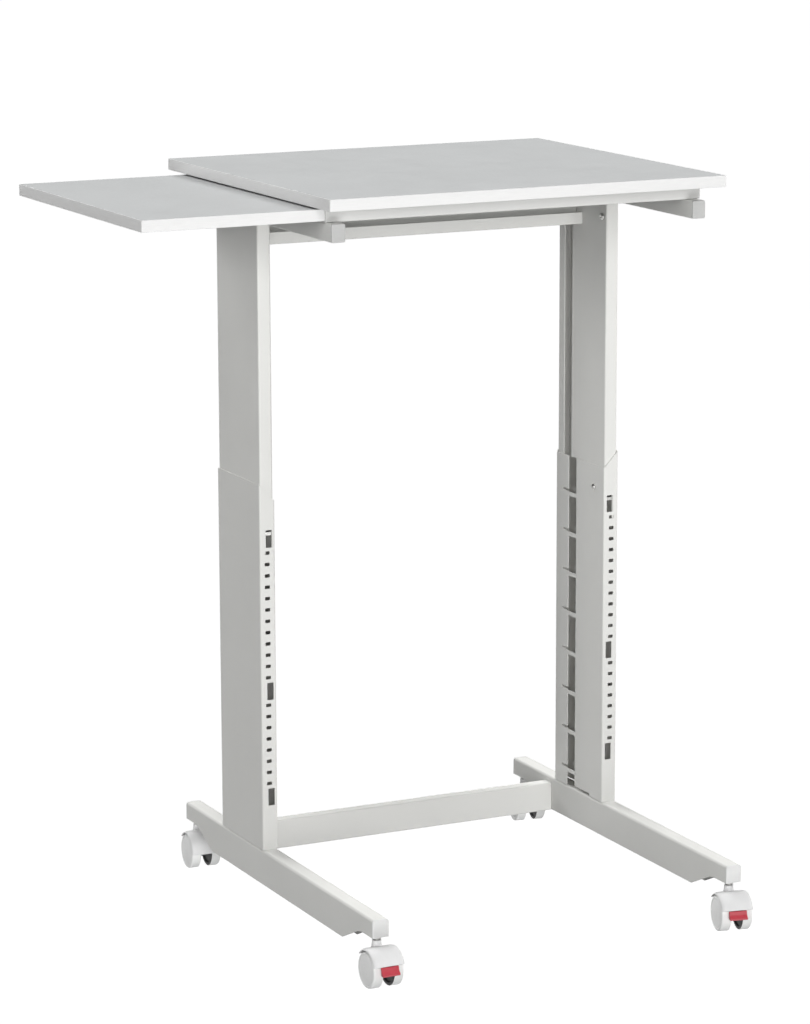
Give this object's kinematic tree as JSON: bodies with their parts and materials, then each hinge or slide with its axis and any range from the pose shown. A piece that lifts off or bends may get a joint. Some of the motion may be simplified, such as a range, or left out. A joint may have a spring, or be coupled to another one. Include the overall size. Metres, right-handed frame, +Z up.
{
  "type": "adjustable side table",
  "caption": "Height-adjustable side table on castors: light grey board on telescopic perforated steel columns, with a side shelf that slides out from under the top.",
  "frame": {"origin": "on the floor, under the middle of the table's footprint with the shelf pulled out", "axes": "+Z up, +X to the table's right, the front with the braked castors towards -Y; the shelf pulls out to -X"},
  "size_m": [0.845, 0.6774, 1.0503],
  "materials": {
    "board_laminate": "light grey laminate",
    "frame_paint": "fine satin powder coat",
    "guide_paint": "satin powder coat",
    "zinc_steel": "zinc plated",
    "grey_plastic": "moulded, satin",
    "black_plastic": "moulded, matt",
    "red_plastic": "moulded, satin"
  },
  "bodies": {
    "base": {"foot_left": "frame_paint", "foot_right": "frame_paint", "foot_insert_front_left": "grey_plastic", "foot_insert_front_right": "grey_plastic", "foot_insert_rear_left": "grey_plastic", "foot_insert_rear_right": "grey_plastic", "lower_crossbar": "frame_paint", "outer_column_left": "frame_paint", "outer_column_right": "frame_paint", "stop_rivet_left": "zinc_steel", "stop_rivet_right": "zinc_steel", "castor_stem_front_left": "zinc_steel", "castor_stem_front_right": "zinc_steel", "castor_stem_rear_left": "zinc_steel", "castor_stem_rear_right": "zinc_steel"},
    "lift": {"inner_column_left": "frame_paint", "inner_column_right": "frame_paint", "pawl_pin_left": "zinc_steel", "pawl_pin_right": "zinc_steel", "arm_left": "frame_paint", "arm_right": "frame_paint", "arm_cap_front_left": "grey_plastic", "arm_cap_front_right": "grey_plastic", "arm_cap_rear_left": "grey_plastic", "arm_cap_rear_right": "grey_plastic", "arm_bolt_left": "zinc_steel", "arm_bolt_right": "zinc_steel", "upper_crossbar": "frame_paint", "guide_front": "guide_paint", "guide_rear": "guide_paint", "guide_stop_front": "black_plastic", "guide_stop_rear": "black_plastic", "main_top": "board_laminate"},
    "shelf": {"side_shelf": "board_laminate"},
    "pawl_left": {"ratchet_pawl_left": "zinc_steel"},
    "pawl_right": {"ratchet_pawl_right": "zinc_steel"},
    "castor_front_left": {"hood_front_left": "grey_plastic", "axle_front_left": "zinc_steel"},
    "roller_front_left_left": {"wheel_front_left_left": "grey_plastic"},
    "roller_front_left_right": {"wheel_front_left_right": "grey_plastic"},
    "castor_front_right": {"hood_front_right": "grey_plastic", "axle_front_right": "zinc_steel"},
    "roller_front_right_left": {"wheel_front_right_left": "grey_plastic"},
    "roller_front_right_right": {"wheel_front_right_right": "grey_plastic"},
    "castor_rear_left": {"hood_rear_left": "grey_plastic", "axle_rear_left": "zinc_steel"},
    "roller_rear_left_left": {"wheel_rear_left_left": "grey_plastic"},
    "roller_rear_left_right": {"wheel_rear_left_right": "grey_plastic"},
    "castor_rear_right": {"hood_rear_right": "grey_plastic", "axle_rear_right": "zinc_steel"},
    "roller_rear_right_left": {"wheel_rear_right_left": "grey_plastic"},
    "roller_rear_right_right": {"wheel_rear_right_right": "grey_plastic"},
    "brake_front_left": {"brake_lever_front_left": "red_plastic"},
    "brake_front_right": {"brake_lever_front_right": "red_plastic"}
  },
  "joints": [
    {"name": "height_slide", "type": "slide", "parent": "base", "child": "lift", "axis": [0, 0, 1], "range_m": [-0.34, 0]},
    {"name": "shelf_slide", "type": "slide", "parent": "lift", "child": "shelf", "axis": [1, 0, 0], "range_m": [0, 0.245]},
    {"name": "pawl_swing_left", "type": "hinge", "parent": "lift", "child": "pawl_left", "pos_m": [-0.1493, 0.075, 0.5773], "axis": [-1, 0, 0], "range_deg": [0, 4.5]},
    {"name": "pawl_swing_right", "type": "hinge", "parent": "lift", "child": "pawl_right", "pos_m": [0.3943, 0.075, 0.5773], "axis": [-1, 0, 0], "range_deg": [0, 4.5]},
    {"name": "castor_swivel_front_left", "type": "hinge", "parent": "base", "child": "castor_front_left", "pos_m": [-0.1515, -0.2905, 0.0543], "axis": [0, 0, 1], "continuous": true},
    {"name": "wheel_spin_front_left_left", "type": "hinge", "parent": "castor_front_left", "child": "roller_front_left_left", "pos_m": [-0.15139, -0.3035, 0.0254], "axis": [1, 0.0087, 0], "continuous": true},
    {"name": "wheel_spin_front_left_right", "type": "hinge", "parent": "castor_front_left", "child": "roller_front_left_right", "pos_m": [-0.15139, -0.3035, 0.0254], "axis": [1, 0.0087, 0], "continuous": true},
    {"name": "castor_swivel_front_right", "type": "hinge", "parent": "base", "child": "castor_front_right", "pos_m": [0.3965, -0.2905, 0.0543], "axis": [0, 0, 1], "continuous": true},
    {"name": "wheel_spin_front_right_left", "type": "hinge", "parent": "castor_front_right", "child": "roller_front_right_left", "pos_m": [0.39391, -0.30324, 0.0254], "axis": [0.9799, -0.1994, 0], "continuous": true},
    {"name": "wheel_spin_front_right_right", "type": "hinge", "parent": "castor_front_right", "child": "roller_front_right_right", "pos_m": [0.39391, -0.30324, 0.0254], "axis": [0.9799, -0.1994, 0], "continuous": true},
    {"name": "castor_swivel_rear_left", "type": "hinge", "parent": "base", "child": "castor_rear_left", "pos_m": [-0.1515, 0.323, 0.0543], "axis": [0, 0, 1], "continuous": true},
    {"name": "wheel_spin_rear_left_left", "type": "hinge", "parent": "castor_rear_left", "child": "roller_rear_left_left", "pos_m": [-0.15218, 0.31002, 0.0254], "axis": [0.9986, -0.0523, 0], "continuous": true},
    {"name": "wheel_spin_rear_left_right", "type": "hinge", "parent": "castor_rear_left", "child": "roller_rear_left_right", "pos_m": [-0.15218, 0.31002, 0.0254], "axis": [0.9986, -0.0523, 0], "continuous": true},
    {"name": "castor_swivel_rear_right", "type": "hinge", "parent": "base", "child": "castor_rear_right", "pos_m": [0.3965, 0.323, 0.0543], "axis": [0, 0, 1], "continuous": true},
    {"name": "wheel_spin_rear_right_left", "type": "hinge", "parent": "castor_rear_right", "child": "roller_rear_right_left", "pos_m": [0.39424, 0.3102, 0.0254], "axis": [0.9848, -0.1736, 0], "continuous": true},
    {"name": "wheel_spin_rear_right_right", "type": "hinge", "parent": "castor_rear_right", "child": "roller_rear_right_right", "pos_m": [0.39424, 0.3102, 0.0254], "axis": [0.9848, -0.1736, 0], "continuous": true},
    {"name": "brake_press_front_left", "type": "hinge", "parent": "castor_front_left", "child": "brake_front_left", "pos_m": [-0.15115, -0.33035, 0.034], "axis": [-1, -0.0087, 0], "range_deg": [0, 28]},
    {"name": "brake_press_front_right", "type": "hinge", "parent": "castor_front_right", "child": "brake_front_right", "pos_m": [0.38855, -0.32956, 0.034], "axis": [-0.9799, 0.1994, 0], "range_deg": [0, 28]}
  ]
}
